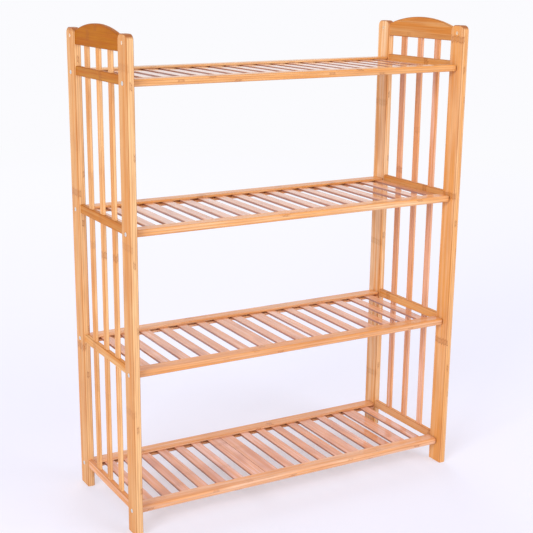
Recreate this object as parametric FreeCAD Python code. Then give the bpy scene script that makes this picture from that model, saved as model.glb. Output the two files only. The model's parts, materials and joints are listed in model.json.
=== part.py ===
"""Slatted storage shelf in bamboo: two end frames with four shelves screwed between them.

Millimetres. X runs along the width, Y from the front (-) to the rear (+) and Z up.
The origin is on the floor, under the middle of the shelf.
"""
import math
import os

from FreeCAD import Vector
import Part

# Overall sizes over the posts
WIDTH = 700.0
DEPTH = 274.0

# Heights, stacked up from the floor
FLOOR_GAP = 38.5  # floor to the underside of the bottom shelf
BOTTOM_BAY = 260.0  # underside of the bottom shelf to that of the next
BAY = 252.5  # the same for the two shelves above
CREST_GAP = 37.2  # top side rail to the crest rail
POST_RISE = 4.5  # post tops above the ends of the crest rail

# Posts
POST_THICK = 14.0  # along X
POST_BROAD = 37.0  # along Y
POST_TOP_RADIUS = 11.0
POST_EDGE_RADIUS = 2.5
CROSS_HOLE_RADIUS = 3.0
CROSS_HOLE_DROP = 14.5  # below the post top

# Rails of the end frames, set in the middle of the posts' thickness
FRAME_RAIL_THICK = 9.0
FRAME_RAIL_EDGE_RADIUS = 2.0
SIDE_RAIL_HEIGHT = 17.0
SIDE_RAIL_LIFT = 1.5  # above the underside of the shelf beside it
CREST_END_HEIGHT = 25.3
CREST_RISE = 15.5  # how far the arch climbs above its ends
TENON_SHOULDER = 2.0  # step round each tenon
TENON_TIP_WALL = 2.5  # wood between a tenon's tip and the hole across the post

# Spindles between the frame rails
SPINDLE_PLACES = ("front", "middle", "rear")
SPINDLE_BROAD = 14.5
SPINDLE_THICK = 5.8
SPINDLE_EDGE_RADIUS = 1.2
SPINDLE_SEAT = 5.0  # depth of the pocket in the rail

# Front and rear rails of the shelves
SHELF_RAIL_BROAD = 28.0
SHELF_RAIL_HEIGHT = 12.5
SHELF_RAIL_INSET = 12.0  # behind the outer edge of the post
SHELF_RAIL_EDGE_RADIUS = 3.2
SHELF_RAIL_END_RADIUS = 5.0
GROOVE_DEPTH = 7.0

# Slats of the shelves, which differ in number and spacing from shelf to shelf
SLAT_COUNTS = {"bottom": 17, "lower": 16, "upper": 18, "top": 19}
SLAT_END_GAPS = {"bottom": 20.0, "lower": 20.0, "upper": 1.0, "top": 16.0}  # post to the nearest slat
SLAT_BROAD = 20.0
SLAT_THICK = 4.0
SLAT_EDGE_RADIUS = 1.0
SLAT_DROP = 3.9  # slat tops below the tops of the shelf rails
# The few slats that are wider, by shelf and place from the left,
# with the share of the gap on their right (+) or left (-) that they fill
WIDER_SLATS = {
    ("bottom", 6): 0.49,
    ("bottom", 7): -0.49,
    ("bottom", 12): -0.5,
    ("bottom", 15): -0.5,
    ("lower", 6): 0.5,
    ("lower", 8): 0.35,
}

# Assembly screws
SCREW_RADIUS = 2.0
SCREW_GRIP = 36.0  # length inside the shelf rail
SCREW_POINT = 5.0
HEAD_RADIUS = 3.8
HEAD_HEIGHT = 2.2
HEAD_RIM = 0.6  # straight part of the head, below its dome
SOCKET_ACROSS = 2.5
SOCKET_DEPTH = 1.3

# Clearances
FIT = 0.15  # round a tenon, spindle, slat or screw
END_ROOM = 0.5  # past the tip of a tenon, spindle, slat or screw, and past the face that a cut opens

# Places that follow from the sizes
SIDES = {"left": -1, "right": 1}
ENDS = {"front": -1, "rear": 1}
LEVELS = {
    "bottom": FLOOR_GAP,
    "lower": FLOOR_GAP + BOTTOM_BAY,
    "upper": FLOOR_GAP + BOTTOM_BAY + BAY,
    "top": FLOOR_GAP + BOTTOM_BAY + 2 * BAY,
}
CREST_FOOT = LEVELS["top"] + SIDE_RAIL_LIFT + SIDE_RAIL_HEIGHT + CREST_GAP
POST_HEIGHT = CREST_FOOT + CREST_END_HEIGHT + POST_RISE
POST_X = (WIDTH - POST_THICK) / 2
POST_Y = (DEPTH - POST_BROAD) / 2
INNER_X = WIDTH / 2 - POST_THICK  # inner faces of the posts
HALF_SPAN = DEPTH / 2 - POST_BROAD  # centre to the inner edges of the posts
SCREW_HOLE_RADIUS = SCREW_RADIUS + FIT
SCREW_LIFT = SHELF_RAIL_HEIGHT / 2  # screw axis above the underside of a shelf
TENON_LENGTH = POST_BROAD / 2 - max(CROSS_HOLE_RADIUS, SCREW_HOLE_RADIUS) - TENON_TIP_WALL
SHELF_RAIL_OUTER = DEPTH / 2 - SHELF_RAIL_INSET
SHELF_RAIL_INNER = SHELF_RAIL_OUTER - SHELF_RAIL_BROAD
SLAT_LIFT = SHELF_RAIL_HEIGHT - SLAT_DROP - SLAT_THICK  # slat underside above that of its shelf

# Underside and end height of every rail of an end frame, from the floor up
FRAME_RAILS = {level: (foot + SIDE_RAIL_LIFT, SIDE_RAIL_HEIGHT) for level, foot in LEVELS.items()}
FRAME_RAILS["crest"] = (CREST_FOOT, CREST_END_HEIGHT)

X_AXIS = Vector(1, 0, 0)
Y_AXIS = Vector(0, 1, 0)
Z_AXIS = Vector(0, 0, 1)
TINY = 1e-6  # lengths this small count as nothing
HEXAGON = 6


def block(x_range, y_range, z_range):
    """Box between the low and high values given for each axis."""
    low = Vector(min(x_range), min(y_range), min(z_range))
    high = Vector(max(x_range), max(y_range), max(z_range))
    size = high - low
    return Part.makeBox(size.x, size.y, size.z, low)


def around(middle, full):
    """Low and high values of a size centred on a place."""
    return (middle - full / 2, middle + full / 2)


def within(radius, wall):
    """An edge radius, limited to just under half of its wall."""
    return min(radius, wall / 2 - FIT)


def edges_along(shape, axis):
    """Straight edges of a shape that run along an axis."""
    found = []
    for edge in shape.Edges:
        run = edge.Vertexes[-1].Point - edge.Vertexes[0].Point
        if run.Length > 0 and abs(abs(run.normalize().dot(axis)) - 1) < TINY:
            found.append(edge)
    return found


def long_edges_eased(shape, radius, axis):
    """A shape with the edges along one axis rounded."""
    return shape.makeFillet(radius, edges_along(shape, axis))


def bore_along_x(radius, x_range, y, z):
    """Cylinder along X, used as a hole."""
    start, stop = sorted(x_range)
    return Part.makeCylinder(radius, stop - start, Vector(start, y, z), X_AXIS)


def tenon(x, end, rail, room=0.0, tip_room=0.0):
    """Tongue at one end of a frame rail, or the pocket for it when room is given."""
    foot, height = FRAME_RAILS[rail]
    thick = FRAME_RAIL_THICK - 2 * TENON_SHOULDER + 2 * room
    y_range = (end * HALF_SPAN, end * (HALF_SPAN + TENON_LENGTH + tip_room))
    z_range = (foot + TENON_SHOULDER - room, foot + height - TENON_SHOULDER + room)
    return block(around(x, thick), y_range, z_range)


def spindle_places():
    """Y centre of each spindle, with equal gaps between the posts."""
    count = len(SPINDLE_PLACES)
    pitch = (2 * HALF_SPAN + SPINDLE_BROAD) / (count + 1)
    return {name: (index - (count - 1) / 2) * pitch for index, name in enumerate(SPINDLE_PLACES)}


def spindle_pocket(x, y, z_range):
    """Pocket in a frame rail for the end of one spindle."""
    return block(around(x, SPINDLE_THICK + 2 * FIT), around(y, SPINDLE_BROAD + 2 * FIT), z_range)


def post(side, end):
    """Post with a rounded top, tenon pockets, screw holes and an open cross hole."""
    x = side * POST_X
    y = end * POST_Y
    outline = block(around(x, POST_THICK), around(y, POST_BROAD), (0, POST_HEIGHT))
    top_corners = [edge for edge in edges_along(outline, X_AXIS) if edge.Vertexes[0].Z > 0]
    shape = outline.makeFillet(within(POST_TOP_RADIUS, POST_BROAD), top_corners)
    rim = [edge for edge in shape.Edges if edge.BoundBox.XLength < TINY and edge.BoundBox.ZMax > TINY]
    shape = shape.makeFillet(within(POST_EDGE_RADIUS, POST_THICK), rim)

    through = around(x, POST_THICK + 2 * END_ROOM)
    cuts = [bore_along_x(CROSS_HOLE_RADIUS, through, y, POST_HEIGHT - CROSS_HOLE_DROP)]
    for level in LEVELS.values():
        cuts.append(bore_along_x(SCREW_HOLE_RADIUS, through, y, level + SCREW_LIFT))
    for rail in FRAME_RAILS:
        cuts.append(tenon(x, end, rail, FIT, END_ROOM))
    return shape.cut(cuts)


def side_rail(side, level):
    """Straight rail of an end frame, with a tenon at each end and pockets for the spindles."""
    x = side * POST_X
    foot, height = FRAME_RAILS[level]
    top = foot + height
    bar = block(around(x, FRAME_RAIL_THICK), (-HALF_SPAN, HALF_SPAN), (foot, top))
    bar = long_edges_eased(bar, within(FRAME_RAIL_EDGE_RADIUS, FRAME_RAIL_THICK), Y_AXIS)
    bar = bar.fuse([tenon(x, end, level) for end in ENDS.values()])
    pockets = []
    for y in spindle_places().values():
        pockets.append(spindle_pocket(x, y, (top - SPINDLE_SEAT, top + END_ROOM)))
        if level != "bottom":
            pockets.append(spindle_pocket(x, y, (foot - END_ROOM, foot + SPINDLE_SEAT)))
    return bar.cut(pockets)


def crest_rail(side):
    """Top rail of an end frame: flat below and arched above, tenoned and pocketed like the others."""
    x = side * POST_X
    foot, height = FRAME_RAILS["crest"]
    shoulder = foot + height
    face_x = x - FRAME_RAIL_THICK / 2
    corners = [
        Vector(face_x, HALF_SPAN, shoulder),
        Vector(face_x, HALF_SPAN, foot),
        Vector(face_x, -HALF_SPAN, foot),
        Vector(face_x, -HALF_SPAN, shoulder),
    ]
    apex = Vector(face_x, 0, shoulder + CREST_RISE)
    outline = [Part.makeLine(start, stop) for start, stop in zip(corners, corners[1:])]
    outline.append(Part.Arc(corners[-1], apex, corners[0]).toShape())
    bar = Part.Face(Part.Wire(outline)).extrude(X_AXIS * FRAME_RAIL_THICK)
    long_runs = [edge for edge in bar.Edges if edge.BoundBox.YLength > HALF_SPAN]
    bar = bar.makeFillet(within(FRAME_RAIL_EDGE_RADIUS, FRAME_RAIL_THICK), long_runs)
    bar = bar.fuse([tenon(x, end, "crest") for end in ENDS.values()])
    seat = (foot - END_ROOM, foot + SPINDLE_SEAT)
    pockets = [spindle_pocket(x, y, seat) for y in spindle_places().values()]
    return bar.cut(pockets)


def spindle(side, below, above, y):
    """Spindle standing in the pockets of the rails below and above it."""
    rail_foot, rail_height = FRAME_RAILS[below]
    low = rail_foot + rail_height - SPINDLE_SEAT
    high = FRAME_RAILS[above][0] + SPINDLE_SEAT - END_ROOM
    bar = block(around(side * POST_X, SPINDLE_THICK), around(y, SPINDLE_BROAD), (low, high))
    return long_edges_eased(bar, within(SPINDLE_EDGE_RADIUS, SPINDLE_THICK), Z_AXIS)


def shelf_rail(end, level):
    """Front or rear rail of a shelf, rounded all round, grooved for the slats and bored for the screws."""
    foot = LEVELS[level]
    y_range = (end * SHELF_RAIL_INNER, end * SHELF_RAIL_OUTER)
    bar = block((-INNER_X, INNER_X), y_range, (foot, foot + SHELF_RAIL_HEIGHT))
    bar = long_edges_eased(bar, within(SHELF_RAIL_END_RADIUS, SHELF_RAIL_BROAD), Z_AXIS)
    rim = [edge for edge in bar.Edges if edge.BoundBox.ZLength < TINY]
    narrowest = min(SHELF_RAIL_HEIGHT, 2 * SHELF_RAIL_END_RADIUS)
    bar = bar.makeFillet(within(SHELF_RAIL_EDGE_RADIUS, narrowest), rim)

    groove_low = foot + SLAT_LIFT
    groove = block(
        (-INNER_X - END_ROOM, INNER_X + END_ROOM),
        (end * (SHELF_RAIL_INNER - END_ROOM), end * (SHELF_RAIL_INNER + GROOVE_DEPTH)),
        (groove_low, groove_low + SLAT_THICK + FIT),
    )
    cuts = [groove]
    for side in SIDES.values():
        hole = (side * (INNER_X + END_ROOM), side * (INNER_X - SCREW_GRIP - END_ROOM))
        cuts.append(bore_along_x(SCREW_HOLE_RADIUS, hole, end * POST_Y, foot + SCREW_LIFT))
    return bar.cut(cuts)


def slat_places(level):
    """Middle and breadth of each slat of one shelf, from the left."""
    run = 2 * (INNER_X - SLAT_END_GAPS[level]) - SLAT_BROAD
    pitch = run / (SLAT_COUNTS[level] - 1)
    places = []
    for index in range(SLAT_COUNTS[level]):
        growth = WIDER_SLATS.get((level, index), 0.0) * (pitch - SLAT_BROAD)
        places.append((index * pitch - run / 2 + growth / 2, SLAT_BROAD + abs(growth)))
    return places


def slats(level):
    """All slats of one shelf, lying in the grooves of its rails."""
    low = LEVELS[level] + SLAT_LIFT
    half_length = SHELF_RAIL_INNER + GROOVE_DEPTH - END_ROOM
    bars = []
    for x, broad in slat_places(level):
        bar = block(around(x, broad), (-half_length, half_length), (low, low + SLAT_THICK))
        top_edges = [edge for edge in edges_along(bar, Y_AXIS) if edge.BoundBox.ZMax > low + SLAT_THICK / 2]
        bars.append(bar.makeFillet(within(SLAT_EDGE_RADIUS, SLAT_THICK), top_edges))
    return Part.makeCompound(bars)


def screw(side, end, level):
    """Button-headed screw with a hexagon socket, through a post into the end of a shelf rail."""
    straight = POST_THICK + SCREW_GRIP - SCREW_POINT
    dome_rise = HEAD_HEIGHT - HEAD_RIM
    dome_radius = (HEAD_RADIUS ** 2 + dome_rise ** 2) / (2 * dome_rise)
    head = Part.makeCylinder(HEAD_RADIUS, HEAD_HEIGHT, Vector(-HEAD_HEIGHT, 0, 0), X_AXIS)
    head = head.common(Part.makeSphere(dome_radius, Vector(dome_radius - HEAD_HEIGHT, 0, 0)))
    shank = Part.makeCylinder(SCREW_RADIUS, straight, Vector(), X_AXIS)
    point = Part.makeCone(SCREW_RADIUS, 0, SCREW_POINT, Vector(straight, 0, 0), X_AXIS)

    corner = SOCKET_ACROSS / math.sqrt(3)
    turns = [math.tau * step / HEXAGON for step in range(HEXAGON + 1)]
    mouth = -HEAD_HEIGHT - END_ROOM
    ring = [Vector(mouth, corner * math.cos(turn), corner * math.sin(turn)) for turn in turns]
    socket = Part.Face(Part.makePolygon(ring)).extrude(X_AXIS * (SOCKET_DEPTH + END_ROOM))
    shape = head.fuse([shank, point]).cut(socket)
    if side > 0:
        shape.rotate(Vector(), Z_AXIS, 180)
    shape.translate(Vector(side * WIDTH / 2, end * POST_Y, LEVELS[level] + SCREW_LIFT))
    return shape


def all_nodes():
    """Every named piece or group of like pieces."""
    nodes = {}
    rails = list(FRAME_RAILS)
    for side_name, side in SIDES.items():
        for end_name, end in ENDS.items():
            nodes[f"post_{side_name}_{end_name}"] = post(side, end)
        nodes[f"crest_rail_{side_name}"] = crest_rail(side)
        for level in LEVELS:
            nodes[f"side_rail_{side_name}_{level}"] = side_rail(side, level)
        for below, above in zip(rails, rails[1:]):
            for place, y in spindle_places().items():
                nodes[f"spindle_{side_name}_{below}_{place}"] = spindle(side, below, above, y)
    for level in LEVELS:
        for end_name, end in ENDS.items():
            nodes[f"shelf_rail_{level}_{end_name}"] = shelf_rail(end, level)
        nodes[f"shelf_slats_{level}"] = slats(level)
    corners = [(side, end, level) for level in LEVELS for side in SIDES.values() for end in ENDS.values()]
    nodes["assembly_screws"] = Part.makeCompound([screw(*corner) for corner in corners])
    return nodes


def main():
    os.makedirs("parts", exist_ok=True)
    nodes = all_nodes()
    for name, shape in nodes.items():
        shape.exportStep(f"parts/{name}.step")
    print(len(nodes), "nodes,", sum(len(shape.Solids) for shape in nodes.values()), "solids")


main()
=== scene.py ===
"""Finishes the slatted bamboo storage shelf: varnished bamboo, zinc-plated screws and a pale studio.

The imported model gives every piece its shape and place, in metres, with +X to the right, +Y to the rear
and +Z up. Each operator finishes one group of like pieces, and the last one builds the stage.
"""
import json
import math
from typing import NamedTuple

import bpy
import numpy as np
from mathutils import Matrix, Vector


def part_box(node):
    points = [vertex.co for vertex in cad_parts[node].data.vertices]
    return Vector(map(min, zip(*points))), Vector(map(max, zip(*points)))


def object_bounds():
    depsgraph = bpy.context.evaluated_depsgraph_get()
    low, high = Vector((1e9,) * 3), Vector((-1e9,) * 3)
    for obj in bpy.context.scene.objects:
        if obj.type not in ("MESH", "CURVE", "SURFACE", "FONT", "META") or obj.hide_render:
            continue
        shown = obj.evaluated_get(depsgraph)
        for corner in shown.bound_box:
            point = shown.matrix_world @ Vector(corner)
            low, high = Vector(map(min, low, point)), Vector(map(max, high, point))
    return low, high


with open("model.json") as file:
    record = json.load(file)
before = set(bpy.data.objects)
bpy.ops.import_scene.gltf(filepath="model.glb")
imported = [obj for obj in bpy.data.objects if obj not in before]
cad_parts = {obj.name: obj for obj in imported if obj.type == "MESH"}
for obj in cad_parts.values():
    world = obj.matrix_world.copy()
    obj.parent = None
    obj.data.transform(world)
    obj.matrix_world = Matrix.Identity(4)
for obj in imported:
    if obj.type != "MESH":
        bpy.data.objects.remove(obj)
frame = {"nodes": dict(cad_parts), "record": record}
CAD_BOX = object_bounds()

bl_info = {
    "name": "Bamboo storage shelf",
    "version": (1, 0, 0),
    "blender": (4, 5, 0),
    "location": "View3D > Sidebar > Shelf",
    "description": "Finishes a slatted bamboo storage shelf and its studio stage",
    "category": "Object",
}

MM_PER_METRE = 1000.0
X, Y, Z = 0, 1, 2

# Slats of each shelf, which are one node: their places follow from the node's box
SLAT_COUNTS = {"bottom": 17, "lower": 16, "upper": 18, "top": 19}
SLAT_BROAD_MM = 20.0

# A length longer than the shelf, for a direction in which the pieces of a group aren't told apart
WHOLE_MM = 2000.0
WHOLE_CELL = (WHOLE_MM, WHOLE_MM, WHOLE_MM)
# Height that holds one shelf level and never cuts through a rail or slat
LEVEL_MM = 200.0
LEVEL_CELL = (WHOLE_MM, WHOLE_MM, LEVEL_MM)

# Laminated strips of the boards: their breadth, and the thickness of one layer
STRIP_MM = 18.5
POST_LAYER_MM = 14.0 / 3
RAIL_LAYER_MM = 12.5 / 3
FRAME_LAYER_MM = 4.5

# Tone of the looks that a group of pieces leans to, and how far: it differs by end frame and by level; on the
# rails, deeper amber above and rosier below is painted light for the floor's pale bounce
CREST_LEAN = {"left": ("stain", 1.0), "right": ("stain", 0.4)}
# Board tone and painted light: the higher side rails lean deeper amber and the lowest rosier, for how the
# light falls on each level
SIDE_RAIL_TONE_AND_PAINTED_LIGHT = {
    "left_bottom": ("rose", 0.25),
    "left_lower": ("stain", 0.3),
    "left_upper": ("stain", 0.65),
    "left_top": ("stain", 0.85),
    "right_bottom": ("rose", 0.1),
    "right_lower": ("stain", 0.15),
    "right_upper": ("stain", 0.25),
    "right_top": ("stain", 0.3),
}
POST_LEAN = {"left": ("stain", 0.34), "right": ("pale", 0.14)}
SPINDLE_LEAN = {"left": ("stain", 0.22), "right": ("rose", 0.3)}
# Painted light: the lower shelf rails lean rosier, for the floor's pale bounce on them
SHELF_RAIL_PAINTED_BOUNCE = {
    "bottom": ("rose", 0.18),
    "lower": ("rose", 0.12),
    "upper": ("rose", 0.04),
    "top": ("rose", 0.0),
}
SLAT_LEAN = {
    "bottom": ("sienna", 1.0),
    "lower": ("sienna", 0.8),
    "upper": ("rose", 0.3),
    "top": ("rose", 0.3),
}
# How pale the front and rear edges of the end frames' boards are, and how dark the slats' sawn sides are
EDGE_PALE = {"left": 0.65, "right": 0.15}
SLAT_SAWN = 0.85
# How dark the rounded edges of the end frames are drawn: painted shade where a rounded edge turns from the
# light
FRAME_PAINTED_EDGE_SHADE = 0.6
# Shares of the node marks and of the soft patches that show on the slats
SLAT_MARKS = 0.5
SLAT_CLOUDS = 1.0
# Which draw of random tones the posts take
POST_DRAW = 2
# Specular level and weight of varnish: full on the slats, thinner on the shelf rails and the end frames
FRAME_GLOSS = 0.12
FRAME_COAT = 0.15
RAIL_GLOSS = 0.03
RAIL_COAT = 0.08
SHELF_RAIL_COAT = 0.4

# Values from 0 to 1 at which a layer of tone starts and is full, and settings of the grain's noise
WHOLE_RANGE = (0.0, 1.0)
STREAK_RANGE = (0.4, 0.6)
CLOUD_RANGE = (0.45, 0.75)
FIBRE_RANGE = (0.45, 0.75)
MARKED_STRIPS = (0.2, 0.5)
FIBRE_NOISE = {"Detail": 3.0, "Roughness": 0.6}
STREAK_NOISE = {"Detail": 2.0}
CLOUD_NOISE = {"Detail": 1.0}
# The same for how squarely a surface faces an axis; 1 is straight on
EDGE_FACING = (0.4, 1.0)
END_FACING = (0.3, 0.75)
SAWN_FACING = (0.6, 1.0)
PAINTED_EDGE_SHADE_FACING = (0.97, 0.78)
GLUE_FACING = 0.5

# Refractive index of the wood's surface, depth of its relief in metres, and roughness range of the zinc
BAMBOO_IOR = 1.5
RELIEF_DEPTH = 0.0002
ZINC_ROUGHNESS = (0.22, 0.4)

# Camera, fitted to the photograph; the lens shift is small, so that the other views stay framed
CAMERA_PLACE = (-1.07906, -1.84992, 0.98934)
CAMERA_YAW = math.radians(28.4501)
CAMERA_PITCH = math.radians(-15.5472)
CAMERA_ROLL = math.radians(0.1911)
CAMERA_SENSOR_MM = 36.0
CAMERA_SHIFT = (0.06, 0.035)

# Soft square lamps: place and side in metres
KEY_PLACE = (3.2, -4.6, 3.2)
FILL_PLACE = (-7.2, -4.2, 3.4)
BACK_PLACE = (1.4, 5.0, 3.6)
LAMP_SIDE = 3.6

# Floor: half its side, and where its shadows begin and end to fade into the backdrop, in metres
FLOOR_REACH = 30.0
SHADE_NEAR = 0.5
SHADE_FAR = 4.5


class Board(NamedTuple):
    """How the pieces of a group were cut from bamboo board; lengths in mm."""

    grain: int  # axis of the fibres
    cell: tuple = WHOLE_CELL  # one piece lies in one cell of this size
    offset: tuple = (0.0, 0.0, 0.0)  # added to a place before its cell is found
    strip: tuple = WHOLE_CELL  # one laminated strip lies in one cell of this size
    glued: int = X  # axis across the glue lines between the layers
    lean: tuple = ("stain", 0.0)  # tone that the wood leans to, and how far
    edge: float = 0.0  # how pale the edges, which face along Y, are
    sawn: float = 0.0  # how dark the sawn sides, which face along X, are
    painted_edge_shade: float = 0.0  # how dark the rounded edges are
    marks: float = 1.0  # how strong the node marks are
    clouds: float = 0.45  # how strong the soft patches are
    gloss: float = 0.3  # specular level of the surface
    coat: float = 1.0  # weight of the clear varnish
    bore: tuple = ()  # y, z and radius of a cross bore, whose wall is painted near white as a highlight


def linear(hex_colour):
    """An sRGB hex colour as linear red, green and blue."""
    srgb = np.array([int(hex_colour[i:i + 2], 16) for i in (1, 3, 5)]) / 255
    low = srgb / 12.92
    high = ((srgb + 0.055) / 1.055) ** 2.4
    return tuple(float(v) for v in np.where(srgb <= 0.04045, low, high))


def opaque(colour):
    """A colour with full alpha, as node sockets take it."""
    return (*colour, 1.0)


def add_node(tree, kind, inputs=None, **settings):
    """Add one node, set its properties, and link or set its inputs."""
    node = tree.nodes.new(kind)
    for name, value in settings.items():
        setattr(node, name, value)
    for key, value in (inputs or {}).items():
        socket = node.inputs[key]
        if isinstance(value, bpy.types.NodeSocket):
            tree.links.new(value, socket)
        else:
            socket.default_value = value
    return node


def empty_material(name):
    """A new material with no nodes, and its node tree."""
    material = bpy.data.materials.new(name)
    material.use_nodes = True
    material.node_tree.nodes.clear()
    return material, material.node_tree


def along_grain(grain, across, along):
    """A vector with one value along the grain and another in both directions across it."""
    return tuple(along if axis == grain else across for axis in range(3))


# The tint carries the board's own tone and, on the rails, painted light by level
def tinted_tone_and_light(colour, tone, share, middle):
    """A colour times a tint, which takes the middle colour part of the way to a tone."""
    tint = 1 - share + share * np.array(tone) / np.array(middle)
    return tuple(float(v) for v in np.clip(np.array(colour) * tint, 0, 1))


def grain_noise(tree, place, jump, grain, size_mm, settings):
    """Noise drawn out along the grain: spots of a breadth and length in mm, moved on from strip to strip."""
    breadth, length = size_mm
    scale = along_grain(grain, 1 / breadth, 1 / length)
    moved = add_node(tree, "ShaderNodeVectorMath", {0: place, 1: scale, 2: jump}, operation="MULTIPLY_ADD")
    noise = add_node(tree, "ShaderNodeTexNoise",
                     {"Vector": moved.outputs["Vector"], "Scale": 1.0, **settings})
    return noise.outputs["Fac"]


def node_marks(tree, board, looks, along, strip, fibre):
    """Share of brown at the nodes of a strip: a soft band, and a fine ragged ring on each side of it."""
    first = add_node(tree, "ShaderNodeMath",
                     {0: strip.outputs["Value"], 1: looks.node_spacing_mm, 2: along},
                     operation="MULTIPLY_ADD")
    ragged = add_node(tree, "ShaderNodeMath",
                      {0: fibre, 1: looks.node_ragged_mm, 2: first.outputs[0]}, operation="MULTIPLY_ADD")
    away = add_node(tree, "ShaderNodeMath", {0: ragged.outputs[0], 1: looks.node_spacing_mm / 2},
                    operation="PINGPONG")
    band = add_node(tree, "ShaderNodeMapRange",
                    {"Value": away.outputs[0], "From Max": looks.node_band_mm,
                     "To Min": looks.node_band, "To Max": 0.0}, interpolation_type="SMOOTHSTEP")
    past_ring = add_node(tree, "ShaderNodeMath", {0: away.outputs[0], 1: looks.node_ring_mm},
                         operation="SUBTRACT")
    from_ring = add_node(tree, "ShaderNodeMath", {0: past_ring.outputs[0]}, operation="ABSOLUTE")
    ring = add_node(tree, "ShaderNodeMapRange",
                    {"Value": from_ring.outputs[0], "From Max": looks.node_line_mm,
                     "To Min": looks.node_line, "To Max": 0.0}, interpolation_type="SMOOTHSTEP")
    both = add_node(tree, "ShaderNodeMath", {0: band.outputs["Result"], 1: ring.outputs["Result"]},
                    operation="ADD")
    start, full = MARKED_STRIPS
    shown = add_node(tree, "ShaderNodeMapRange",
                     {"Value": strip.outputs["Color"], "From Min": start, "From Max": full,
                      "To Max": board.marks})
    mark = add_node(tree, "ShaderNodeMath", {0: both.outputs[0], 1: shown.outputs["Result"]},
                    operation="MULTIPLY")
    return mark.outputs[0]


def glue_lines(tree, board, looks, across, facing):
    """Share of brown at the borders between two glued layers, on the edges of the board alone."""
    on_edge = add_node(tree, "ShaderNodeMapRange",
                       {"Value": facing, "From Max": GLUE_FACING, "To Min": looks.glue_tone, "To Max": 0.0})
    away = add_node(tree, "ShaderNodeMath", {0: across, 1: board.strip[board.glued] / 2},
                    operation="PINGPONG")
    glue = add_node(tree, "ShaderNodeMapRange",
                    {"Value": away.outputs[0], "From Max": looks.glue_mm,
                     "To Min": on_edge.outputs["Result"], "To Max": 0.0}, interpolation_type="SMOOTHSTEP")
    return glue.outputs["Result"]


def painted_bore_glint(tree, board, looks, metres):
    """Share of painted highlight: the whole of the cross bores, which lie alike on all four posts."""
    bore_y, bore_z, bore_radius = board.bore
    mirrored = add_node(tree, "ShaderNodeVectorMath", {0: metres}, operation="ABSOLUTE")
    from_axis = add_node(tree, "ShaderNodeVectorMath",
                         {0: mirrored.outputs["Vector"], 1: (0, MM_PER_METRE, MM_PER_METRE),
                          2: (0, -bore_y, -bore_z)}, operation="MULTIPLY_ADD")
    away = add_node(tree, "ShaderNodeVectorMath", {0: from_axis.outputs["Vector"]}, operation="LENGTH")
    bore_glint = add_node(tree, "ShaderNodeMapRange",
                   {"Value": away.outputs["Value"], "From Min": bore_radius,
                    "From Max": bore_radius + looks.bore_edge_mm, "To Min": 1.0, "To Max": 0.0})
    return bore_glint.outputs["Result"]


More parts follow.
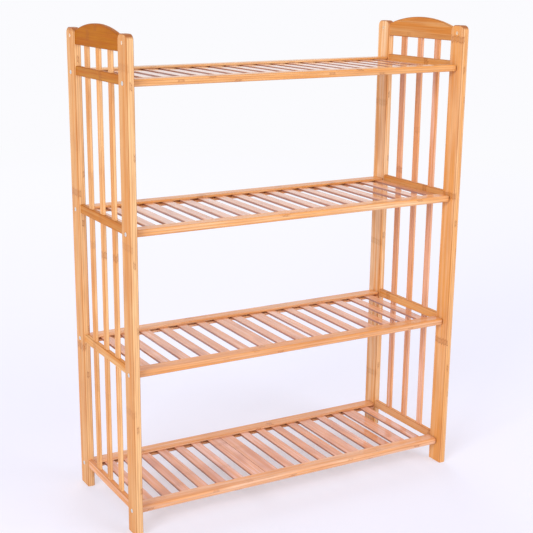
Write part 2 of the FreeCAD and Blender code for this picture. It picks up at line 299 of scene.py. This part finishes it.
def varnished_bamboo(name, board, looks):
    """Laminated bamboo board, planed and clear-varnished.

    It gives the eye straight fibres along the piece, tone that changes from strip to strip and from piece
    to piece, a tint that on the rails also paints light by level, soft patches, brown rings at the nodes of a
    strip, glue lines on the edges, darker ends and sawn sides, painted shade on the rounded edges, a painted
    highlight in the bores, and a satin sheen.
    """
    material, tree = empty_material(name)
    coordinates = add_node(tree, "ShaderNodeTexCoord")
    place = add_node(tree, "ShaderNodeVectorMath",
                     {0: coordinates.outputs["Object"], 1: (MM_PER_METRE,) * 3, 2: board.offset},
                     operation="MULTIPLY_ADD").outputs["Vector"]
    axes = add_node(tree, "ShaderNodeSeparateXYZ", {0: place}).outputs
    normal = add_node(tree, "ShaderNodeVectorMath", {0: coordinates.outputs["Normal"]}, operation="ABSOLUTE")
    facing = add_node(tree, "ShaderNodeSeparateXYZ", {0: normal.outputs["Vector"]}).outputs

    # Which piece and which of its strips: the cells that the place lies in, turned to random values
    piece_cell = add_node(tree, "ShaderNodeVectorMath", {0: place, 1: board.cell}, operation="SNAP")
    piece = add_node(tree, "ShaderNodeTexWhiteNoise", {"Vector": piece_cell.outputs["Vector"]},
                     noise_dimensions="3D")
    strip_cell = add_node(tree, "ShaderNodeVectorMath", {0: place, 1: board.strip}, operation="SNAP")
    strip_key = add_node(tree, "ShaderNodeVectorMath",
                         {0: strip_cell.outputs["Vector"], 1: piece.outputs["Color"]}, operation="ADD")
    strip = add_node(tree, "ShaderNodeTexWhiteNoise", {"Vector": strip_key.outputs["Vector"]},
                     noise_dimensions="3D")

    # Real fibres are near 0.3 mm, too fine to show, so they are drawn coarser
    jump = add_node(tree, "ShaderNodeVectorMath", {0: strip.outputs["Color"], "Scale": looks.grain_jump},
                    operation="SCALE").outputs["Vector"]
    fibre, streak, cloud = (
        grain_noise(tree, place, jump, board.grain, size_mm, settings)
        for size_mm, settings in (
            ((looks.fibre_mm, looks.fibre_length_mm), FIBRE_NOISE),
            ((looks.streak_mm, looks.streak_length_mm), STREAK_NOISE),
            ((looks.cloud_mm, looks.cloud_length_mm), CLOUD_NOISE),
        )
    )

    # A rounded edge faces none of the axes squarely
    facing_flat = add_node(tree, "ShaderNodeMath", {0: facing[X], 1: facing[Y]}, operation="MAXIMUM")
    facing_most = add_node(tree, "ShaderNodeMath", {0: facing_flat.outputs[0], 1: facing[Z]},
                           operation="MAXIMUM")

    # Layers over the palest wood: a value, where in it the layer starts and is full, its most and its tone
    tone, lean = board.lean
    pale, honey, amber, cloudy, dark = (
        tinted_tone_and_light(colour, getattr(looks, tone), lean, looks.honey)
        for colour in (looks.pale, looks.honey, looks.amber, looks.cloud, looks.dark_fibre)
    )
    glue = glue_lines(tree, board, looks, axes[board.glued], facing[board.glued])
    marks = node_marks(tree, board, looks, axes[board.grain], strip, fibre)
    layers = [
        (streak, STREAK_RANGE, 1.0, honey),
        (piece.outputs["Value"], WHOLE_RANGE, looks.piece_tone, amber),
        (strip.outputs["Value"], WHOLE_RANGE, looks.strip_tone, amber),
        (facing[Y], EDGE_FACING, board.edge, looks.pale),
        (cloud, CLOUD_RANGE, looks.cloud_tone * board.clouds, cloudy),
        (fibre, FIBRE_RANGE, looks.fibre_contrast, dark),
        (facing[board.grain], END_FACING, looks.end_grain, looks.node_brown),
        (facing[X], SAWN_FACING, board.sawn, looks.sawn),
        (glue, WHOLE_RANGE, 1.0, looks.sawn),
        # Painted shade along the rounded edges of the end frames
        (facing_most.outputs[0], PAINTED_EDGE_SHADE_FACING, board.painted_edge_shade, looks.node_brown),
        (marks, WHOLE_RANGE, 1.0, looks.node_brown),
    ]
    # Painted highlight inside the cross bores of the posts
    if board.bore:
        bore_glint = painted_bore_glint(tree, board, looks, coordinates.outputs["Object"])
        layers.append((bore_glint, WHOLE_RANGE, 1.0, looks.bore_glint))

    colour = opaque(pale)
    for value, (start, full), most, layer in layers:
        share = add_node(tree, "ShaderNodeMapRange",
                         {"Value": value, "From Min": start, "From Max": full, "To Max": most})
        mixed = add_node(tree, "ShaderNodeMix", {0: share.outputs["Result"], 6: colour, 7: opaque(layer)},
                         data_type="RGBA")
        colour = mixed.outputs[2]

    rough = add_node(tree, "ShaderNodeMapRange",
                     {"Value": fibre, "To Min": looks.smoothest, "To Max": looks.roughest})
    relief = add_node(tree, "ShaderNodeBump",
                      {"Height": fibre, "Strength": looks.relief, "Distance": RELIEF_DEPTH})
    shader = add_node(tree, "ShaderNodeBsdfPrincipled", {
        "Base Color": colour,
        "Roughness": rough.outputs["Result"],
        "Normal": relief.outputs["Normal"],
        "IOR": BAMBOO_IOR,
        "Specular IOR Level": board.gloss,
        "Coat Weight": board.coat,
        "Coat Roughness": looks.varnish_roughness,
    })
    add_node(tree, "ShaderNodeOutputMaterial", {"Surface": shader.outputs["BSDF"]})
    return material


def zinc_plated_steel(name, looks):
    """Turned steel with bright zinc plating: a pale metal with a faint, fine grain in its gloss."""
    material, tree = empty_material(name)
    coordinates = add_node(tree, "ShaderNodeTexCoord")
    grain = add_node(tree, "ShaderNodeTexNoise",
                     {"Vector": coordinates.outputs["Object"], "Scale": MM_PER_METRE / looks.plating_grain_mm,
                      "Detail": 3.0})
    smoothest, roughest = ZINC_ROUGHNESS
    rough = add_node(tree, "ShaderNodeMapRange",
                     {"Value": grain.outputs["Fac"], "To Min": smoothest, "To Max": roughest})
    tint = add_node(tree, "ShaderNodeMix",
                    {0: grain.outputs["Fac"], 6: opaque(looks.zinc), 7: opaque(looks.zinc_shade)},
                    data_type="RGBA")
    shader = add_node(tree, "ShaderNodeBsdfPrincipled", {
        "Base Color": tint.outputs[2],
        "Metallic": 1.0,
        "Roughness": rough.outputs["Result"],
    })
    add_node(tree, "ShaderNodeOutputMaterial", {"Surface": shader.outputs["BSDF"]})
    return material


def seen_or_reflected(tree):
    """1 for rays from the camera and for reflected or refracted ones, which see the plain backdrop."""
    path = add_node(tree, "ShaderNodeLightPath")
    gloss = add_node(tree, "ShaderNodeMath",
                     {0: path.outputs["Is Camera Ray"], 1: path.outputs["Is Glossy Ray"]},
                     operation="MAXIMUM")
    every = add_node(tree, "ShaderNodeMath",
                     {0: gloss.outputs[0], 1: path.outputs["Is Transmission Ray"]}, operation="MAXIMUM")
    return every.outputs[0]


def floor_paper(name, stage):
    """Matt white background paper: nearly pure white to the eye, and it still takes a soft shadow.

    Away from the shelf the shadow's share fades, so that the floor runs into the backdrop with no edge.
    """
    material, tree = empty_material(name)
    matt = add_node(tree, "ShaderNodeBsdfDiffuse", {"Color": opaque(stage.paper)})
    glow = add_node(tree, "ShaderNodeEmission", {"Color": opaque(stage.backdrop), "Strength": 1.0})
    coordinates = add_node(tree, "ShaderNodeTexCoord")
    reach = add_node(tree, "ShaderNodeVectorMath", {0: coordinates.outputs["Object"]}, operation="LENGTH")
    plain = add_node(tree, "ShaderNodeMapRange",
                     {"Value": reach.outputs["Value"], "From Min": SHADE_NEAR, "From Max": SHADE_FAR,
                      "To Min": stage.whiteness, "To Max": 1.0}, interpolation_type="SMOOTHSTEP")
    share = add_node(tree, "ShaderNodeMath", {0: seen_or_reflected(tree), 1: plain.outputs["Result"]},
                     operation="MULTIPLY")
    mixed = add_node(tree, "ShaderNodeMixShader",
                     {0: share.outputs[0], 1: matt.outputs["BSDF"], 2: glow.outputs["Emission"]})
    add_node(tree, "ShaderNodeOutputMaterial", {"Surface": mixed.outputs["Shader"]})
    return material


def nodes_named(start):
    """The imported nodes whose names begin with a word; raises an error if there are none."""
    found = [node for name, node in frame["nodes"].items() if name.startswith(start)]
    if not found:
        raise RuntimeError(f"the packed model has no node that begins with {start}")
    return found


def finish_nodes(start, material):
    """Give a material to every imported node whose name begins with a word."""
    for node in nodes_named(start):
        node.material_slots[0].material = material


def finish_boards(start, board, looks):
    """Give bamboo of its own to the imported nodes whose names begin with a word."""
    finish_nodes(start, varnished_bamboo(f"bamboo_{start}", board, looks))


class ShelfLooks(bpy.types.PropertyGroup):
    """Colours and grain of the shelf's bamboo and screws."""

    pale: bpy.props.FloatVectorProperty(
        name="Pale wood", description="Palest tone of the bamboo", subtype="COLOR", min=0, max=1,
        default=linear("#F7CE96"))
    honey: bpy.props.FloatVectorProperty(
        name="Honey", description="Middle tone of the bamboo's wide streaks", subtype="COLOR", min=0, max=1,
        default=linear("#EDA85C"))
    amber: bpy.props.FloatVectorProperty(
        name="Amber", description="Tone that the darker pieces and strips lean to", subtype="COLOR",
        min=0, max=1, default=linear("#D99042"))
    stain: bpy.props.FloatVectorProperty(
        name="Deep amber", description="Tone of the deepest boards", subtype="COLOR", min=0, max=1,
        default=linear("#B66600"))
    rose: bpy.props.FloatVectorProperty(
        name="Rose", description="Tone of the rosier boards", subtype="COLOR", min=0, max=1,
        default=linear("#E6AC9C"))
    sienna: bpy.props.FloatVectorProperty(
        name="Sienna", description="Tone of the browner slats", subtype="COLOR", min=0, max=1,
        default=linear("#E8A170"))
    cloud: bpy.props.FloatVectorProperty(
        name="Cloud", description="Soft darker patches", subtype="COLOR", min=0, max=1,
        default=linear("#C0763F"))
    dark_fibre: bpy.props.FloatVectorProperty(
        name="Dark fibre", description="Dark fibres", subtype="COLOR", min=0, max=1,
        default=linear("#BC762F"))
    sawn: bpy.props.FloatVectorProperty(
        name="Sawn side", description="Sawn sides of the slats, and glue lines", subtype="COLOR",
        min=0, max=1, default=linear("#8E5844"))
    node_brown: bpy.props.FloatVectorProperty(
        name="Node brown", description="Brown of the nodes, ends and edges", subtype="COLOR", min=0, max=1,
        default=linear("#96501F"))
    # Painted highlight: near white inside the cross bores, for the glint on their walls
    bore_glint: bpy.props.FloatVectorProperty(
        name="Raw wood", description="Unvarnished wood inside the bores", subtype="COLOR", min=0, max=1,
        default=linear("#FBEBD2"))
    fibre_mm: bpy.props.FloatProperty(
        name="Fibre breadth", description="Breadth of a drawn fibre in mm", default=1.6, min=0.1)
    fibre_length_mm: bpy.props.FloatProperty(
        name="Fibre length", description="Length of a drawn fibre in mm", default=90.0, min=1.0)
    streak_mm: bpy.props.FloatProperty(
        name="Streak breadth", description="Breadth of the wide streaks in mm", default=7.0, min=0.5)
    streak_length_mm: bpy.props.FloatProperty(
        name="Streak length", description="Length of the wide streaks in mm", default=220.0, min=5.0)
    cloud_mm: bpy.props.FloatProperty(
        name="Cloud breadth", description="Breadth of the soft patches in mm", default=22.0, min=0.5)
    cloud_length_mm: bpy.props.FloatProperty(
        name="Cloud length", description="Length of the soft patches in mm", default=80.0, min=5.0)
    cloud_tone: bpy.props.FloatProperty(
        name="Cloud tone", description="How dark the soft patches are", default=0.7, min=0, max=1)
    grain_jump: bpy.props.FloatProperty(
        name="Grain jump", description="How far the grain moves from one strip to the next", default=60.0)
    node_spacing_mm: bpy.props.FloatProperty(
        name="Node spacing", description="Distance between the nodes of a strip in mm",
        default=300.0, min=20.0)
    node_band_mm: bpy.props.FloatProperty(
        name="Node band height", description="Half height of the soft band at a node in mm",
        default=8.0, min=0.2)
    node_ring_mm: bpy.props.FloatProperty(
        name="Node ring", description="Distance from a node to the fine ring on each side in mm",
        default=4.5, min=0.1)
    node_line_mm: bpy.props.FloatProperty(
        name="Node line height", description="Half height of a fine ring in mm", default=1.8, min=0.1)
    node_ragged_mm: bpy.props.FloatProperty(
        name="Ragged edge", description="Unevenness of a node mark's edge in mm", default=24.0, min=0.0)
    node_band: bpy.props.FloatProperty(
        name="Node band", description="How dark the soft band at a node is", default=0.32, min=0, max=1)
    node_line: bpy.props.FloatProperty(
        name="Node line", description="How dark the fine rings at a node are", default=0.6, min=0, max=1)
    glue_mm: bpy.props.FloatProperty(
        name="Glue line", description="Half breadth of a drawn glue line in mm", default=0.7, min=0.05)
    glue_tone: bpy.props.FloatProperty(
        name="Glue tone", description="How dark the glue lines are", default=0.45, min=0, max=1)
    piece_tone: bpy.props.FloatProperty(
        name="Piece tone", description="How far pieces differ in tone", default=0.55, min=0, max=1)
    strip_tone: bpy.props.FloatProperty(
        name="Strip tone", description="How far strips differ in tone", default=0.35, min=0, max=1)
    fibre_contrast: bpy.props.FloatProperty(
        name="Fibre contrast", description="How dark the fibres are", default=0.55, min=0, max=1)
    end_grain: bpy.props.FloatProperty(
        name="End grain", description="How dark the ends of the pieces are", default=0.7, min=0, max=1)
    bore_edge_mm: bpy.props.FloatProperty(
        name="Bore edge", description="Breadth of the raw edge round a bore in mm", default=0.4, min=0.01)
    smoothest: bpy.props.FloatProperty(
        name="Smoothest", description="Least roughness of the wood", default=0.36, min=0, max=1)
    roughest: bpy.props.FloatProperty(
        name="Roughest", description="Greatest roughness of the wood", default=0.55, min=0, max=1)
    relief: bpy.props.FloatProperty(
        name="Relief", description="Strength of the fibres' relief", default=0.15, min=0, max=1)
    varnish_roughness: bpy.props.FloatProperty(
        name="Varnish roughness", description="Roughness of the clear varnish", default=0.07, min=0, max=1)
    zinc: bpy.props.FloatVectorProperty(
        name="Zinc", description="Bright tone of the screws", subtype="COLOR", min=0, max=1,
        default=linear("#F4F4F2"))
    zinc_shade: bpy.props.FloatVectorProperty(
        name="Zinc shade", description="Duller tone of the screws", subtype="COLOR", min=0, max=1,
        default=linear("#D8DADB"))
    plating_grain_mm: bpy.props.FloatProperty(
        name="Plating grain", description="Size of the plating's grain in mm", default=0.8, min=0.05)


class ShelfStage(bpy.types.PropertyGroup):
    """Backdrop, lamps and lens."""

    paper: bpy.props.FloatVectorProperty(
        name="Paper", description="Colour of the floor under the lamps", subtype="COLOR", min=0, max=1,
        default=linear("#EFF0FF"))
    even_light: bpy.props.FloatVectorProperty(
        name="Even light", description="Colour of the light from all round", subtype="COLOR", min=0, max=1,
        default=linear("#F0ECFB"))
    backdrop: bpy.props.FloatVectorProperty(
        name="Backdrop", description="Colour of the surround to the eye", subtype="COLOR", min=0, max=1,
        default=linear("#FBFBFE"))
    whiteness: bpy.props.FloatProperty(
        name="Whiteness", description="Share of the plain backdrop in the floor", default=0.42, min=0, max=1)
    key: bpy.props.FloatProperty(
        name="Key lamp", description="Power of the lamp at the front right", default=140.0, min=0,
        subtype="POWER")
    fill: bpy.props.FloatProperty(
        name="Fill lamp", description="Power of the lamp at the front left", default=470.0, min=0,
        subtype="POWER")
    back: bpy.props.FloatProperty(
        name="Back lamp", description="Power of the lamp at the rear", default=110.0, min=0, subtype="POWER")
    ambient: bpy.props.FloatProperty(
        name="Ambient", description="Strength of the even light from all round", default=0.68, min=0)
    lens: bpy.props.FloatProperty(
        name="Lens", description="Focal length in mm", default=76.673, min=10.0)


class SHELF_OT_posts(bpy.types.Operator):
    """Finish the four corner posts, with their grain upright and a painted highlight in their cross bores"""

    bl_idname = "shelf.posts"
    bl_label = "Posts"

    def execute(self, context):
        bores = [mount for mount in frame["record"]["mounts"] if mount["kind"] == "bore"]
        if not bores:
            raise RuntimeError("the packed record has no bore in the posts")
        _, bore_y, bore_z = np.abs(bores[0]["pos_m"]) * MM_PER_METRE
        bore = (float(bore_y), float(bore_z), bores[0]["dims"]["r_mm"])
        for side, lean in POST_LEAN.items():
            board = Board(Z, offset=(0.0, 0.0, POST_DRAW * WHOLE_MM),
                          strip=(POST_LAYER_MM, WHOLE_MM, WHOLE_MM),
                          lean=lean, edge=EDGE_PALE[side], painted_edge_shade=FRAME_PAINTED_EDGE_SHADE,
                          gloss=FRAME_GLOSS, coat=FRAME_COAT, bore=bore)
            finish_boards(f"post_{side}", board, context.scene.shelf_looks)
        return {"FINISHED"}


class SHELF_OT_crest_rails(bpy.types.Operator):
    """Finish the arched rails at the top of the end frames"""

    bl_idname = "shelf.crest_rails"
    bl_label = "Crest rails"

    def execute(self, context):
        for side, lean in CREST_LEAN.items():
            board = Board(Y, offset=(0.0, WHOLE_MM / 2, 0.0), strip=(FRAME_LAYER_MM, WHOLE_MM, STRIP_MM),
                          lean=lean, painted_edge_shade=FRAME_PAINTED_EDGE_SHADE, gloss=RAIL_GLOSS, coat=RAIL_COAT)
            finish_boards(f"crest_rail_{side}", board, context.scene.shelf_looks)
        return {"FINISHED"}


class SHELF_OT_side_rails(bpy.types.Operator):
    """Finish the straight rails of the end frames"""

    bl_idname = "shelf.side_rails"
    bl_label = "Side rails"

    def execute(self, context):
        for rail, lean in SIDE_RAIL_TONE_AND_PAINTED_LIGHT.items():
            board = Board(Y, LEVEL_CELL, (0.0, WHOLE_MM / 2, 0.0), (FRAME_LAYER_MM, WHOLE_MM, LEVEL_MM),
                          lean=lean, painted_edge_shade=FRAME_PAINTED_EDGE_SHADE, gloss=RAIL_GLOSS, coat=RAIL_COAT)
            finish_boards(f"side_rail_{rail}", board, context.scene.shelf_looks)
        return {"FINISHED"}


class SHELF_OT_spindles(bpy.types.Operator):
    """Finish the flat spindles between the rails of the end frames"""

    bl_idname = "shelf.spindles"
    bl_label = "Spindles"

    def execute(self, context):
        low_middle, high_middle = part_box("spindle_left_lower_middle")
        low_rear, high_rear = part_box("spindle_left_lower_rear")
        pitch = ((low_rear + high_rear - low_middle - high_middle) / 2)[Y] * MM_PER_METRE
        low_above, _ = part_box("spindle_left_upper_middle")
        bay = (low_above - low_middle)[Z] * MM_PER_METRE
        start = low_middle[Z] * MM_PER_METRE
        for side, lean in SPINDLE_LEAN.items():
            board = Board(Z, (WHOLE_MM, pitch, bay), (0.0, pitch / 2, bay - start),
                          lean=lean, edge=EDGE_PALE[side], painted_edge_shade=FRAME_PAINTED_EDGE_SHADE,
                          gloss=FRAME_GLOSS, coat=FRAME_COAT)
            finish_boards(f"spindle_{side}", board, context.scene.shelf_looks)
        return {"FINISHED"}


class SHELF_OT_shelf_rails(bpy.types.Operator):
    """Finish the rounded front and rear rails of the shelves"""

    bl_idname = "shelf.shelf_rails"
    bl_label = "Shelf rails"

    def execute(self, context):
        for level, lean in SHELF_RAIL_PAINTED_BOUNCE.items():
            board = Board(X, LEVEL_CELL, (WHOLE_MM / 2, 0.0, 0.0), (WHOLE_MM, STRIP_MM, RAIL_LAYER_MM), Z,
                          lean=lean, coat=SHELF_RAIL_COAT)
            finish_boards(f"shelf_rail_{level}", board, context.scene.shelf_looks)
        return {"FINISHED"}


class SHELF_OT_slats(bpy.types.Operator):
    """Finish the slats of the shelves, each with a tone of its own"""

    bl_idname = "shelf.slats"
    bl_label = "Slats"

    def execute(self, context):
        for level, count in SLAT_COUNTS.items():
            low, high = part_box(f"shelf_slats_{level}")
            pitch = ((high - low)[X] * MM_PER_METRE - SLAT_BROAD_MM) / (count - 1)
            first = low[X] * MM_PER_METRE + SLAT_BROAD_MM / 2
            board = Board(Y, (pitch, WHOLE_MM, LEVEL_MM), (pitch / 2 - first, WHOLE_MM / 2, 0.0),
                          lean=SLAT_LEAN[level], sawn=SLAT_SAWN, marks=SLAT_MARKS, clouds=SLAT_CLOUDS)
            finish_boards(f"shelf_slats_{level}", board, context.scene.shelf_looks)
        return {"FINISHED"}


class SHELF_OT_screws(bpy.types.Operator):
    """Finish the assembly screws"""

    bl_idname = "shelf.screws"
    bl_label = "Screws"

    def execute(self, context):
        finish_nodes("assembly_screws", zinc_plated_steel("zinc_plated_steel", context.scene.shelf_looks))
        return {"FINISHED"}


class SHELF_OT_stage(bpy.types.Operator):
    """Build the floor, the lamps, the even light and the camera"""

    bl_idname = "shelf.stage"
    bl_label = "Stage"

    def execute(self, context):
        scene = context.scene
        stage = scene.shelf_stage
        scene.view_settings.view_transform = "Standard"
        build_floor(scene, stage)
        target = Vector((0.0, 0.0, (CAD_BOX[0].z + CAD_BOX[1].z) / 2))
        add_lamp(scene, "key_lamp", KEY_PLACE, target, stage.key)
        add_lamp(scene, "fill_lamp", FILL_PLACE, target, stage.fill)
        add_lamp(scene, "back_lamp", BACK_PLACE, target, stage.back)
        add_even_light(scene, stage)
        add_camera(scene, stage)
        return {"FINISHED"}


def build_floor(scene, stage):
    """Flat floor: a square in X and Y round the origin, at the height of the shelf's feet."""
    sides = np.array([-FLOOR_REACH, FLOOR_REACH])
    grid_x, grid_y = np.meshgrid(sides, sides)
    points = np.stack([grid_x, grid_y, np.zeros_like(grid_x)], axis=-1).reshape(-1, 3)
    mesh = bpy.data.meshes.new("studio_floor")
    mesh.from_pydata(points.tolist(), [], [(0, 1, 3, 2)])
    mesh.materials.append(floor_paper("floor_paper", stage))
    floor = bpy.data.objects.new("studio_floor", mesh)
    scene.collection.objects.link(floor)


def add_lamp(scene, name, place, target, power):
    """A square soft lamp that faces the target and that reflections don't show."""
    lamp = bpy.data.lights.new(name, "AREA")
    lamp.size = LAMP_SIDE
    lamp.energy = power
    holder = bpy.data.objects.new(name, lamp)
    holder.visible_glossy = False
    holder.location = place
    holder.rotation_euler = (target - Vector(place)).to_track_quat("-Z", "Y").to_euler()
    scene.collection.objects.link(holder)


def add_even_light(scene, stage):
    """White to the eye and in reflections, and a plain even light on the shelf."""
    world = bpy.data.worlds.new("studio")
    world.use_nodes = True
    tree = world.node_tree
    tree.nodes.clear()
    seen = add_node(tree, "ShaderNodeBackground", {"Color": opaque(stage.backdrop), "Strength": 1.0})
    even = add_node(tree, "ShaderNodeBackground",
                    {"Color": opaque(stage.even_light), "Strength": stage.ambient})
    mixed = add_node(tree, "ShaderNodeMixShader",
                     {0: seen_or_reflected(tree), 1: even.outputs[0], 2: seen.outputs[0]})
    add_node(tree, "ShaderNodeOutputWorld", {"Surface": mixed.outputs["Shader"]})
    scene.world = world


def add_camera(scene, stage):
    """The photograph's view point: yaw to the right of +Y, pitch above the level, then roll."""
    lens = bpy.data.cameras.new("camera")
    lens.sensor_width = CAMERA_SENSOR_MM
    lens.lens = stage.lens
    lens.shift_x, lens.shift_y = CAMERA_SHIFT
    camera = bpy.data.objects.new("camera", lens)
    yaw = Matrix.Rotation(-CAMERA_YAW, 4, "Z")
    pitch = Matrix.Rotation(math.pi / 2 + CAMERA_PITCH, 4, "X")
    roll = Matrix.Rotation(CAMERA_ROLL, 4, "Z")
    camera.matrix_world = Matrix.Translation(CAMERA_PLACE) @ yaw @ pitch @ roll
    scene.collection.objects.link(camera)
    scene.camera = camera


OPERATORS = (
    SHELF_OT_posts,
    SHELF_OT_crest_rails,
    SHELF_OT_side_rails,
    SHELF_OT_spindles,
    SHELF_OT_shelf_rails,
    SHELF_OT_slats,
    SHELF_OT_screws,
    SHELF_OT_stage,
)


class SHELF_PT_panel(bpy.types.Panel):
    """Lists the shelf's finishing steps"""

    bl_idname = "SHELF_PT_panel"
    bl_label = "Bamboo shelf"
    bl_space_type = "VIEW_3D"
    bl_region_type = "UI"
    bl_category = "Shelf"

    def draw(self, context):
        for operator in OPERATORS:
            self.layout.operator(operator.bl_idname)


CLASSES = (ShelfLooks, ShelfStage, *OPERATORS, SHELF_PT_panel)


def register():
    for entry in CLASSES:
        bpy.utils.register_class(entry)
    bpy.types.Scene.shelf_looks = bpy.props.PointerProperty(type=ShelfLooks)
    bpy.types.Scene.shelf_stage = bpy.props.PointerProperty(type=ShelfStage)


def unregister():
    del bpy.types.Scene.shelf_stage
    del bpy.types.Scene.shelf_looks
    for entry in reversed(CLASSES):
        bpy.utils.unregister_class(entry)


def main():
    """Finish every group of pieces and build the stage."""
    register()
    bpy.ops.shelf.posts()
    bpy.ops.shelf.crest_rails()
    bpy.ops.shelf.side_rails()
    bpy.ops.shelf.spindles()
    bpy.ops.shelf.shelf_rails()
    bpy.ops.shelf.slats()
    bpy.ops.shelf.screws()
    bpy.ops.shelf.stage()


if __name__ == "__main__":
    main()
